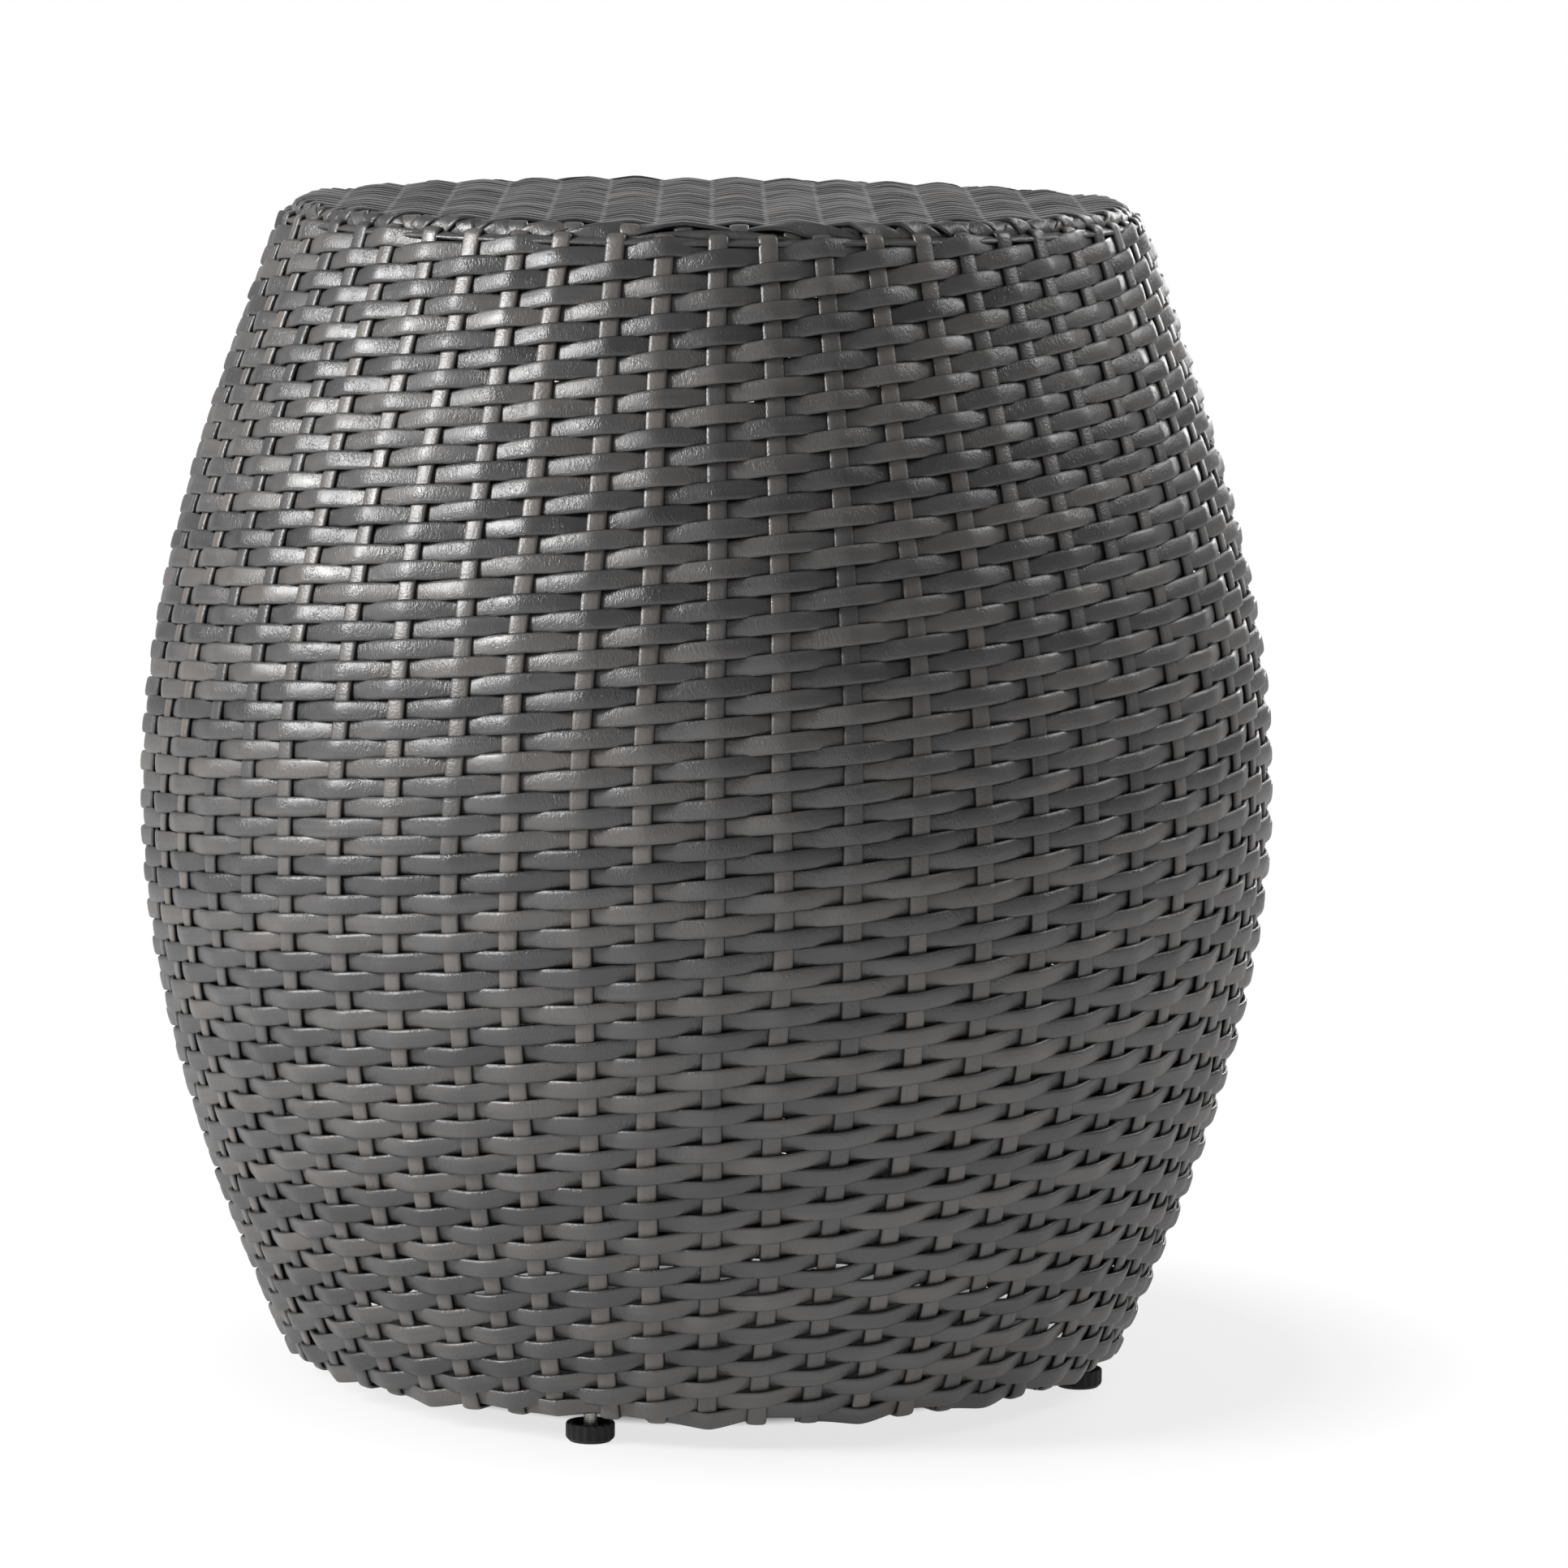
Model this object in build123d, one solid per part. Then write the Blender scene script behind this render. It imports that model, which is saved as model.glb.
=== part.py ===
"""Barrel-shaped woven patio side table: a steel frame, a woven skin and four screw-in levelling feet.

Millimetres, +Z up. The origin is on the floor in the middle of the feet, and -Y is the front.
"""
from build123d import *
from math import cos, pi, radians, sin
import os

# Barrel outline, measured on the outside of the weave
TABLE_H = 508.0        # floor to the crown of the woven top
TOP_D = 368.0          # across the top rim
BELLY_D = 489.0        # across the widest line
BASE_D = 365.0         # across the bottom rim
BELLY_Z = 252.0        # height of the widest line
BASE_LIFT = 10.5       # floor to the underside of the bottom border
LOWER_CURVE = 0.96     # below 1 is fuller than a sine curve, above 1 is leaner
UPPER_CURVE = 1.07
BANDS = 5              # straight steps of the outline on each side of the belly

# Woven skin
STAKES = 54            # upright strands: the weave runs straight from one to the next
STAKE_TURN = 1.0       # first stake from the front, in degrees about +Z
ROWS = 13              # bands of weaving up the wall, each for the five real rows in its height
ROW_FACE = 0.6         # upright share of a band, the rest slopes over to the next one
WEAVE_DEPTH = 3.0      # how far a band dips behind every second stake
WALL = 7.0             # two weavers and a stake, one over the other
TOP_T = 7.0            # woven top
RIM_LAP = 6.0          # how far the rim border lies over the top ring
RIM_ROUND = 6.0        # rounding of the top edge
RIM_DROP = 0.5         # rim border below the crown of the top
BORDER_H = 4.0         # bottom border below the bottom ring
BORDER_ROUND = 3.0     # rounding of the bottom edge
ROUND_STEPS = 3        # straight steps of each rounding

# Steel frame
RING_W = 16.0          # flat rings, across the flat
RING_T = 3.0
RIB_COUNT = 12
RIB_W = 12.0           # upright flat bars, bent to the outline
RIB_T = 3.0
BAR_COUNT = 3          # bars across the top ring
BAR_W = 16.0
BAR_PITCH = 86.0

# Levelling feet
FOOT_COUNT = 4
FOOT_TURN = -16.0      # first foot from the front, in degrees about +Z
STUD_D = 6.0
STUD_OVER = 8.0        # stud above its nut
NUT_AF = 11.0          # weld nut across its flats
NUT_H = 8.0
FOOT_D = 20.5          # plastic glide across its corners
FOOT_H = 8.0
FOOT_SIDES = 18        # flat grips round the glide
FOOT_CHAMFER = 1.6
CUP_D = 15.0           # hollow in the glide's upper face
CUP_DEPTH = 2.6
SOLE_T = 2.0           # plastic left under the stud

# Fits
SEAT = 0.3             # woven skin to the steel that it lies on
WELD = 0.05            # butted steel
RUNNING = 0.05         # stud in its nut and in its glide, on the radius
END_PLAY = 0.1         # stud's end to the glide
HOLE_CLEAR = 0.5       # stud in the bottom ring, on the radius
FLATNESS = 1e-6        # volume of four corners that still counts as flat


def curve_r(z):
    """Radius of the smooth outline at height z: a sine swell from each rim to the belly."""
    if z < BELLY_Z:
        rim_r, rise, power = BASE_D / 2, (z - BASE_LIFT) / (BELLY_Z - BASE_LIFT), LOWER_CURVE
    else:
        rim_r, rise, power = TOP_D / 2, (TABLE_H - z) / (TABLE_H - BELLY_Z), UPPER_CURVE
    return rim_r + (BELLY_D / 2 - rim_r) * max(sin(pi / 2 * rise), 0.0) ** power


LOWER_LEVELS = [BASE_LIFT + step * (BELLY_Z - BASE_LIFT) / BANDS for step in range(BANDS)]
UPPER_LEVELS = [BELLY_Z + step * (TABLE_H - BELLY_Z) / BANDS for step in range(BANDS + 1)]
LEVELS = LOWER_LEVELS + UPPER_LEVELS


def skin_r(z):
    """Outside radius of the barrel at height z, on the straight step that holds it."""
    for low, high in zip(LEVELS, LEVELS[1:]):
        if z <= high:
            share = (z - low) / (high - low)
            return curve_r(low) + share * (curve_r(high) - curve_r(low))
    return TOP_D / 2


def outline(z_low, z_high, set_in=0.0):
    """Points (radius, height) of the outline between two heights, set in by the given amount."""
    heights = [z_low] + [z for z in LEVELS if z_low < z < z_high] + [z_high]
    return [(skin_r(z) - set_in, z) for z in heights]


def around(count, turn=0.0):
    """Angles about +Z of a ring of pieces, the first one turned from the front."""
    return [-90.0 + turn + index * 360.0 / count for index in range(count)]


def corners(radius, z, dip=0.0, row=0):
    """Ring of corners at height z, one at each stake, every second one drawn in by a share of the radius."""
    ring = []
    for stake, angle in enumerate(around(STAKES, STAKE_TURN)):
        reach = radius * (1 - dip) if (stake + row) % 2 else radius
        ring.append(Vector(reach * cos(radians(angle)), reach * sin(radians(angle)), z))
    return ring


def facets(low_left, low_right, high_right, high_left):
    """One flat facet through four corners, or two that are folded on the diagonal further out."""
    quad = [low_left, low_right, high_right, high_left]
    if abs((low_right - low_left).cross(high_left - low_left).dot(high_right - low_left)) < FLATNESS:
        return [Face(Wire.make_polygon(quad))]
    if (low_left + high_right).length < (low_right + high_left).length:
        quad = quad[1:] + quad[:1]
    return [Face(Wire.make_polygon(half)) for half in (quad[:3], quad[2:] + quad[:1])]


def faceted(rings):
    """Solid with facets from ring to ring of corners, closed by its first and its last ring."""
    faces = [Face(Wire.make_polygon(ring)) for ring in (rings[0], rings[-1])]
    for low, high in zip(rings, rings[1:]):
        for stake in range(STAKES):
            faces += facets(low[stake - 1], low[stake], high[stake], high[stake - 1])
    return Solid(Shell(faces))


def barrel(points):
    """Solid with a flat side between each two stakes, through (radius, height) points."""
    return faceted([corners(radius, z) for radius, z in points])


# Heights, radii and angles that the pieces share
FLAT = cos(pi / STAKES)                              # middle of a flat side, as a share of its corner
RING_LOW_Z = BASE_LIFT + BORDER_H
RING_LOW_TOP = RING_LOW_Z + RING_T
RING_LOW_R = (skin_r(RING_LOW_Z) - WALL) * FLAT - SEAT
TOP_SEAT_Z = TABLE_H - TOP_T
RING_TOP_Z = TOP_SEAT_Z - RING_T
RING_TOP_R = (skin_r(TOP_SEAT_Z) - WALL) * FLAT - SEAT
RIB_SET_IN = WALL + BELLY_D / 2 * (1 - FLAT) + SEAT  # outline to the outside of a rib
BELLY_SKIN_R = min(skin_r(BELLY_Z - RING_T / 2), skin_r(BELLY_Z + RING_T / 2))
BELLY_RING_R = BELLY_SKIN_R - RIB_SET_IN - RIB_T - WELD
TOP_WEAVE_R = RING_TOP_R - RIM_LAP
FOOT_R = RING_LOW_R - RING_W / 2
FOOT_ANGLES = around(FOOT_COUNT, FOOT_TURN)
RIB_ANGLES = around(RIB_COUNT, FOOT_TURN + 180.0 / RIB_COUNT)


def flat_ring(outer_r, z):
    """Flat steel ring standing on height z."""
    return Pos(0, 0, z) * extrude(Circle(outer_r) - Circle(outer_r - RING_W), RING_T)


def top_ring():
    return flat_ring(RING_TOP_R, RING_TOP_Z)


def belly_ring():
    return flat_ring(BELLY_RING_R, BELLY_Z - RING_T / 2)


def bottom_ring():
    """Ring with a hole for each levelling stud."""
    ring = flat_ring(RING_LOW_R, RING_LOW_Z)
    for angle in FOOT_ANGLES:
        hole = extrude(Circle(STUD_D / 2 + HOLE_CLEAR), RING_T)
        ring -= foot_place(angle) * Pos(0, 0, RING_LOW_Z) * hole
    return ring


def rib(angle):
    """Upright flat bar that follows the outline from the bottom ring to the top ring."""
    outer = outline(RING_LOW_TOP, RING_TOP_Z, RIB_SET_IN)
    inner = outline(RING_LOW_TOP, RING_TOP_Z, RIB_SET_IN + RIB_T)
    face = Plane.XZ * make_face(Polyline(*outer, *reversed(inner), close=True))
    return Rot(0, 0, angle) * extrude(face, RIB_W / 2, both=True)


def top_bar(y):
    """Flat bar let into the top ring, flush with it."""
    bar = Pos(0, y) * Rectangle(2 * RING_TOP_R, BAR_W)
    inside = Circle(RING_TOP_R - RING_W - WELD)
    return Pos(0, 0, RING_TOP_Z) * extrude(bar & inside, RING_T)


def side_weave():
    """Woven wall between the two borders: each band passes before one stake and behind the next."""
    pitch = (RING_TOP_Z - RING_LOW_Z) / ROWS
    dip = WEAVE_DEPTH / (BELLY_D / 2)
    rings = [corners(skin_r(RING_LOW_Z), RING_LOW_Z)]
    for row in range(ROWS):
        middle = RING_LOW_Z + (row + 0.5) * pitch
        for z in (middle - ROW_FACE * pitch / 2, middle + ROW_FACE * pitch / 2):
            rings.append(corners(curve_r(z), z, dip, row))
    rings.append(corners(skin_r(RING_TOP_Z), RING_TOP_Z))
    return faceted(rings) - barrel(outline(RING_LOW_Z, RING_TOP_Z, WALL))


def rim_border():
    """Strands wrapped over the edge of the top ring."""
    shoulder_z = TABLE_H - RIM_DROP - RIM_ROUND
    shoulder_r = skin_r(shoulder_z)
    points = [(skin_r(RING_TOP_Z), RING_TOP_Z)]
    for step in range(ROUND_STEPS + 1):
        turn = pi / 2 * step / ROUND_STEPS
        points.append((shoulder_r - RIM_ROUND * (1 - cos(turn)), shoulder_z + RIM_ROUND * sin(turn)))
    border = barrel(points)
    border -= Pos(0, 0, RING_TOP_Z) * extrude(Circle(RING_TOP_R + SEAT), RING_T)
    return border - barrel([(TOP_WEAVE_R, TOP_SEAT_Z), (TOP_WEAVE_R, TABLE_H)])


def base_border():
    """Strands turned under at the foot of the wall."""
    heel_z = BASE_LIFT + BORDER_ROUND
    heel_r = skin_r(heel_z)
    points = []
    for step in range(ROUND_STEPS + 1):
        turn = pi / 2 * (1 - step / ROUND_STEPS)
        points.append((heel_r - BORDER_ROUND * (1 - cos(turn)), heel_z - BORDER_ROUND * sin(turn)))
    points.append((skin_r(RING_LOW_Z), RING_LOW_Z))
    return barrel(points) - barrel(outline(BASE_LIFT, RING_LOW_Z, WALL))


def top_weave():
    """Woven top, laid on the top ring and its bars."""
    return barrel([(TOP_WEAVE_R - SEAT, TOP_SEAT_Z), (TOP_WEAVE_R - SEAT, TABLE_H)])


def foot_place(angle):
    """Foot of a levelling foot's axis on the floor."""
    return Pos(FOOT_R * cos(radians(angle)), FOOT_R * sin(radians(angle)), 0)


def foot_nut(angle):
    """Weld nut on the bottom ring."""
    hexagon = RegularPolygon(NUT_AF / 2, 6, major_radius=False)
    nut = extrude(hexagon - Circle(STUD_D / 2 + RUNNING), NUT_H)
    return foot_place(angle) * Pos(0, 0, RING_LOW_TOP) * nut


def foot_stud(angle):
    """Threaded stud from inside the glide up through the nut."""
    foot = SOLE_T + END_PLAY
    tip = RING_LOW_TOP + NUT_H + STUD_OVER
    return foot_place(angle) * Pos(0, 0, foot) * extrude(Circle(STUD_D / 2), tip - foot)


def foot_base(angle):
    """Plastic glide with flat grips round its side and a hollow above, bored for the stud."""
    glide = extrude(RegularPolygon(FOOT_D / 2, FOOT_SIDES), FOOT_H)
    glide = chamfer(glide.faces().sort_by(Axis.Z)[0].edges(), FOOT_CHAMFER)
    glide -= Pos(0, 0, FOOT_H - CUP_DEPTH) * extrude(RegularPolygon(CUP_D / 2, FOOT_SIDES), CUP_DEPTH)
    glide -= Pos(0, 0, SOLE_T) * extrude(Circle(STUD_D / 2 + RUNNING), FOOT_H)
    return foot_place(angle) * glide


def table_pieces():
    """Every piece of the table by its name."""
    pieces = {
        "top_ring": top_ring(),
        "belly_ring": belly_ring(),
        "bottom_ring": bottom_ring(),
        "side_weave": side_weave(),
        "top_weave": top_weave(),
        "rim_border": rim_border(),
        "base_border": base_border(),
    }
    for number, angle in enumerate(RIB_ANGLES, 1):
        pieces[f"rib_{number}"] = rib(angle)
    for number in range(1, BAR_COUNT + 1):
        pieces[f"top_bar_{number}"] = top_bar((number - (BAR_COUNT + 1) / 2) * BAR_PITCH)
    for number, angle in enumerate(FOOT_ANGLES, 1):
        pieces[f"foot_nut_{number}"] = foot_nut(angle)
        pieces[f"foot_stud_{number}"] = foot_stud(angle)
        pieces[f"foot_base_{number}"] = foot_base(angle)
    return pieces


os.makedirs("parts", exist_ok=True)
for name, shape in table_pieces().items():
    export_step(shape, f"parts/{name}.step")
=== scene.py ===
# %% [markdown]
# # A barrel side table, woven from resin strand
# The real table is a painted steel frame under a skin of flat resin strands, and it stands on four
# screw-in feet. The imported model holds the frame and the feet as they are, and plain shells where the
# strands go. This lesson keeps the steel, and weaves every strand as a strip of its own, because the
# weave is what the eye sees: its slant, its shadows and its sheen.

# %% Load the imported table
from math import atan2, cos, pi, radians, sin, sqrt

import bmesh
import bpy
import numpy as np
from mathutils import Matrix, Vector


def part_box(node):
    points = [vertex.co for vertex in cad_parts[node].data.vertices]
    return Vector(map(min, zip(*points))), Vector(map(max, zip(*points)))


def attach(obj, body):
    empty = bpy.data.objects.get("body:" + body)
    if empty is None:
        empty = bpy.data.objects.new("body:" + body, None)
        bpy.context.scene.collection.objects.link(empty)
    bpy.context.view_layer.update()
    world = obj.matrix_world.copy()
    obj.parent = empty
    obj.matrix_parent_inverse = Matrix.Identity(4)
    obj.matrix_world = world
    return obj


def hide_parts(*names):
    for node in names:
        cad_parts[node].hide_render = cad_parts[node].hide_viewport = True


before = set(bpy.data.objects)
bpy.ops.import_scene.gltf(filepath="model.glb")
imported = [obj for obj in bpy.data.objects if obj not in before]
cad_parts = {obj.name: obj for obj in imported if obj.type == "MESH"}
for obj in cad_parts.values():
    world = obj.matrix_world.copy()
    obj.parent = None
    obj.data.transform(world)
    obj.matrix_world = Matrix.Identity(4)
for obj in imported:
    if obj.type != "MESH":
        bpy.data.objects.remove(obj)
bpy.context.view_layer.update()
print("pieces in the packed table:", len(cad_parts))

# %% [markdown]
# ## The barrel's outline
# The barrel swells from each rim to the belly as a quarter of a sine wave, and a power makes the lower
# half a little fuller and the upper half a little leaner. A curve object could carry this line, but the
# strands need the line's length and its outward direction at every height, so the line is a formula,
# sampled once. Strands are then placed by their length along the wall, because rows of weaving keep
# an even pitch along the skin and not along the height.

# %% The wall, from the bottom rim to the top rim
MM = 0.001
TABLE_H, BELLY_Z, BASE_LIFT = 508 * MM, 252 * MM, 10.5 * MM
TOP_R, BELLY_R, BASE_R = 184 * MM, 244.5 * MM, 182.5 * MM
LOWER_CURVE, UPPER_CURVE = 0.96, 1.07
WALL = 7 * MM
WALL_SAMPLES = 600


def outline_radius(height):
    """Outside radius of the barrel at a height."""
    low = np.clip((height - BASE_LIFT) / (BELLY_Z - BASE_LIFT), 0, 1)
    high = np.clip((TABLE_H - height) / (TABLE_H - BELLY_Z), 0, 1)
    lower = BASE_R + (BELLY_R - BASE_R) * np.sin(pi / 2 * low) ** LOWER_CURVE
    upper = TOP_R + (BELLY_R - TOP_R) * np.sin(pi / 2 * high) ** UPPER_CURVE
    return np.where(height < BELLY_Z, lower, upper)


wall_z = np.linspace(BASE_LIFT, TABLE_H, WALL_SAMPLES)
wall_r = outline_radius(wall_z)
wall_lean = np.gradient(wall_r, wall_z)
out_r = 1 / np.hypot(1, wall_lean)
out_z = -wall_lean * out_r
mid_r = wall_r - WALL / 2 * out_r
mid_z = wall_z - WALL / 2 * out_z
wall_run = np.concatenate([[0], np.cumsum(np.hypot(np.diff(mid_r), np.diff(mid_z)))])


def on_wall(run):
    """Radius and height of the wall's middle layer at a length along it, and which way is out."""
    return [np.interp(run, wall_run, line) for line in (mid_r, mid_z, out_r, out_z)]


def run_at(height):
    """Length along the wall at a height."""
    return float(np.interp(height, mid_z, wall_run))


def around(radius, height, turn):
    """Points from a radius, a height and an angle about the barrel's axis."""
    turn = np.broadcast_to(turn, np.shape(radius))
    height = np.broadcast_to(height, np.shape(radius))
    return np.stack([radius * np.cos(turn), radius * np.sin(turn), height], axis=-1)


print(f"length of the wall from rim to rim: {wall_run[-1] / MM:.1f} mm")

# %% [markdown]
# ## One strand
# A strand is a flat band of extruded resin with a domed face and rounded edges. A curve with a bevel
# profile would make it in one step, but then it would have no even UV map for the emboss. Here each
# strand starts as a flat grid with a UV map, its points are moved onto the strand's path, and the grid's
# two long edges are welded. Both ends are pinched flat, as where strand is cut with pliers.
# The second map lays the strands side by side in rows, so that a picture of the finish can be kept.
# Each point also knows its strand's batch and how far it lies below the crown of the strand's face.

# %% Strips that are bent into strands
GIRTH = 12                 # faces round a strand
ROUNDING = 0.68            # 1 is an ellipse, towards 0 a rectangle
CUT = 0.7 * MM             # length of a pinched end
ROW_GAP = 0.07             # share of a row kept clear on each side in the second map
ROW_SLACK = 1.0001         # keeps the last strand inside the last row
STRAND_GAP = 2 * MM        # between strands in the second map
GIRTH_SHARE = 2.1          # length round a strand, for its width and thickness together
STRAND_SHIFT = 0.05        # moves each strand to another place in the grain
PIECE_SHIFT, PIECE_SHIFTS = 0.11, 50
CORNERS = 4                # of each face
WELD = 1e-6
WAVER_RATES, WAVERS = (0.6, 1.6), 3

girth_angle = 2 * pi * np.arange(GIRTH + 1) / GIRTH - pi / 2
section_across = np.sign(np.cos(girth_angle)) * np.abs(np.cos(girth_angle)) ** ROUNDING
section_out = np.sign(np.sin(girth_angle)) * np.abs(np.sin(girth_angle)) ** ROUNDING
section_across[np.abs(section_across) < WELD] = 0
section_out[np.abs(section_out) < WELD] = 0
section_depth = (1 - section_out) / 2  # 0 on the crown of the face, 1 on the back


def unit(vectors):
    """The same directions, each of length 1."""
    return vectors / np.linalg.norm(vectors, axis=-1, keepdims=True)


def with_cut_ends(path, face):
    """The path with a short step added at each end, where the strand is pinched."""
    start = path[0] - CUT * unit(path[1] - path[0])
    end = path[-1] + CUT * unit(path[-1] - path[-2])
    return np.vstack([start, path, end]), np.vstack([face[0], face, face[-1]])


def swept(path, face, width, thick, twist):
    """Points of a strand, as stations along it by points round it."""
    along = unit(np.gradient(path, axis=0))
    out = unit(face - along * np.sum(face * along, axis=1, keepdims=True))
    across = np.cross(along, out)
    turn = np.broadcast_to(twist, len(path))[:, None]
    out, across = out * np.cos(turn) + across * np.sin(turn), across * np.cos(turn) - out * np.sin(turn)
    full = np.ones(len(path))
    full[[0, -1]] = 0
    wide = section_across[None, :, None] * across[:, None, :] * width / 2
    deep = section_out[None, :, None] * out[:, None, :] * full[:, None, None] * thick / 2
    return path[:, None, :] + wide + deep


def woven_piece(name, strands, body, nodes, finish, seed):
    """One piece of many strands. Each strand is (path, face, width, thickness, twist)."""
    bm = bmesh.new()
    bm.loops.layers.uv.new("Strand")
    bm.verts.layers.float.new("tone")
    bm.verts.layers.float.new("depth")
    rng = np.random.default_rng(seed)
    places, lengths, counts = [], [], []
    for path, face, width, thick, twist in strands:
        path, face = with_cut_ends(path, face)
        bmesh.ops.create_grid(bm, x_segments=len(path) - 1, y_segments=GIRTH, size=0.5, calc_uvs=True)
        twist = np.broadcast_to(twist, len(path) - 2)
        twist = np.concatenate([twist[:1], twist, twist[-1:]])
        points = swept(path, face, width, thick, twist)
        places.append(points.transpose(1, 0, 2).reshape(-1, 3))
        steps = np.linalg.norm(np.diff(path, axis=0), axis=1)
        lengths.append(np.concatenate([[0], np.cumsum(steps)]))
        counts.append(len(path))
    mesh = bpy.data.meshes.new(name)
    bm.to_mesh(mesh)
    bm.free()

    girth = GIRTH_SHARE * (strands[0][2] + strands[0][3])
    starts = np.concatenate([[0], np.cumsum([line[-1] + STRAND_GAP for line in lengths])])
    longest = max(np.diff(line).max() for line in lengths)
    rows = int(np.ceil(sqrt(starts[-1] / girth)))
    row_length = starts[-1] / rows * ROW_SLACK
    shares = np.empty(len(mesh.loops) * 2)
    mesh.uv_layers["Strand"].data.foreach_get("uv", shares)
    shares = shares.reshape(-1, 2)
    strand_map, bake_map = np.empty_like(shares), np.empty_like(shares)
    shift = PIECE_SHIFT * (seed % PIECE_SHIFTS)
    tones, depths = [], []
    at = 0
    for number, (line, count) in enumerate(zip(lengths, counts)):
        loops = slice(at, at + (count - 1) * GIRTH * CORNERS)
        at = loops.stop
        station = np.rint(shares[loops, 0] * (count - 1)).astype(int)
        length = line[station]
        first = line[station.reshape(-1, CORNERS).min(axis=1)] + starts[number]
        row = np.repeat(np.minimum(first // row_length, rows - 1), CORNERS)
        strand_map[loops, 0] = length
        strand_map[loops, 1] = shares[loops, 1] * girth + STRAND_SHIFT * number + shift
        bake_map[loops, 0] = (starts[number] + length - row * row_length) / (row_length + longest)
        bake_map[loops, 1] = (row + ROW_GAP + (1 - 2 * ROW_GAP) * shares[loops, 1]) / rows
        tones.append(np.full(count * (GIRTH + 1), rng.uniform(0, 1)))
        depths.append(np.repeat(section_depth, count))
    mesh.uv_layers["Strand"].data.foreach_set("uv", strand_map.ravel())
    mesh.uv_layers.new(name="OFBake")
    mesh.uv_layers["OFBake"].data.foreach_set("uv", bake_map.ravel())
    mesh.vertices.foreach_set("co", np.vstack(places).ravel())
    mesh.attributes["tone"].data.foreach_set("value", np.concatenate(tones))
    mesh.attributes["depth"].data.foreach_set("value", np.concatenate(depths))

    bm = bmesh.new()
    bm.from_mesh(mesh)
    bmesh.ops.remove_doubles(bm, verts=bm.verts, dist=WELD)
    bmesh.ops.recalc_face_normals(bm, faces=bm.faces)
    bm.to_mesh(mesh)
    bm.free()
    mesh.shade_smooth()
    mesh.materials.append(finish)
    piece = bpy.data.objects.new(name, mesh)
    bpy.context.scene.collection.objects.link(piece)
    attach(piece, body)
    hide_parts(*nodes)


def wobble(along, reach, seed):
    """A slow, seeded waver between about -1 and 1, as in handwork."""
    rng = np.random.default_rng(seed)
    rates, phases = rng.uniform(*WAVER_RATES, WAVERS) / reach, rng.uniform(0, 2 * pi, WAVERS)
    return sum(np.sin(2 * pi * rate * along + phase) for rate, phase in zip(rates, phases)) / 2


def waver(along, kind, number):
    """The waver of one strand. A kind is its size, the length of a wave and the first strand's seed."""
    size, reach, seed = kind
    return size * wobble(along, reach, seed + number)


print(f"faces round a strand: {GIRTH}")

# %% [markdown]
# ## Writing a finish as sums
# A finish is a graph of shader nodes. Placing nodes by hand in the editor is fine for one, but a script
# reads better when the maths looks like maths. A Flow is one socket: adding or multiplying flows adds
# Math nodes. Every other node comes from one method, which takes the node's type, its settings and
# what goes into its sockets.

# %% Flows and finishes
class Flow:
    """A socket that can be added, taken away and multiplied."""

    def __init__(self, graph, socket):
        self.graph, self.socket = graph, socket

    def sum(self, operation, left, right):
        return self.graph.add("ShaderNodeMath", {"operation": operation}, {0: left, 1: right})

    def __add__(self, other):
        return self.sum("ADD", self, other)

    def __radd__(self, other):
        return self.sum("ADD", other, self)

    def __sub__(self, other):
        return self.sum("SUBTRACT", self, other)

    def __mul__(self, other):
        return self.sum("MULTIPLY", self, other)

    def __rmul__(self, other):
        return self.sum("MULTIPLY", other, self)


class Finish:
    """A material's or a world's graph of nodes."""

    def __init__(self, owner):
        self.owner = owner
        owner.use_nodes = True
        self.tree = owner.node_tree
        self.tree.nodes.clear()

    def add(self, kind, settings=None, sockets=None, out=0):
        """Adds a node, sets it up, fills its sockets and gives back one of its outputs."""
        node = self.tree.nodes.new(kind)
        for key, value in (settings or {}).items():
            setattr(node, key, value)
        for key, value in (sockets or {}).items():
            if isinstance(value, Flow):
                self.tree.links.new(value.socket, node.inputs[key])
            else:
                node.inputs[key].default_value = value
        return Flow(self, node.outputs[out])

    def between(self, value, low, high, to_low=0.0, to_high=1.0):
        """A value rescaled from one span to another, held at its ends."""
        spans = {"From Min": low, "From Max": high, "To Min": to_low, "To Max": to_high}
        return self.add("ShaderNodeMapRange", {"clamp": True}, {"Value": value, **spans})

    def blend(self, share, first, second):
        """A colour between two colours."""
        settings = {"data_type": "RGBA", "blend_type": "MIX"}
        return self.add("ShaderNodeMix", settings, {0: share, 6: first, 7: second}, out=2)

    def noise(self, place, scale, detail=2.0, roughness=0.5):
        """Noise at a place."""
        sockets = {"Vector": place, "Scale": scale, "Detail": detail, "Roughness": roughness}
        return self.add("ShaderNodeTexNoise", {}, sockets)

    def stretched(self, place, scale):
        """The same places with each axis scaled."""
        return self.add("ShaderNodeMapping", {"vector_type": "POINT"}, {"Vector": place, "Scale": scale})

    def close(self, sockets):
        """Ends a material's graph in a Principled BSDF."""
        shader = self.add("ShaderNodeBsdfPrincipled", {}, sockets)
        self.add_end("ShaderNodeOutputMaterial", shader)
        return self.owner

    def add_end(self, kind, shader):
        """Adds an output node and links a shader to it."""
        node = self.tree.nodes.new(kind)
        self.tree.links.new(shader.socket, node.inputs["Surface"])


print("finish writer ready")
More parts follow.
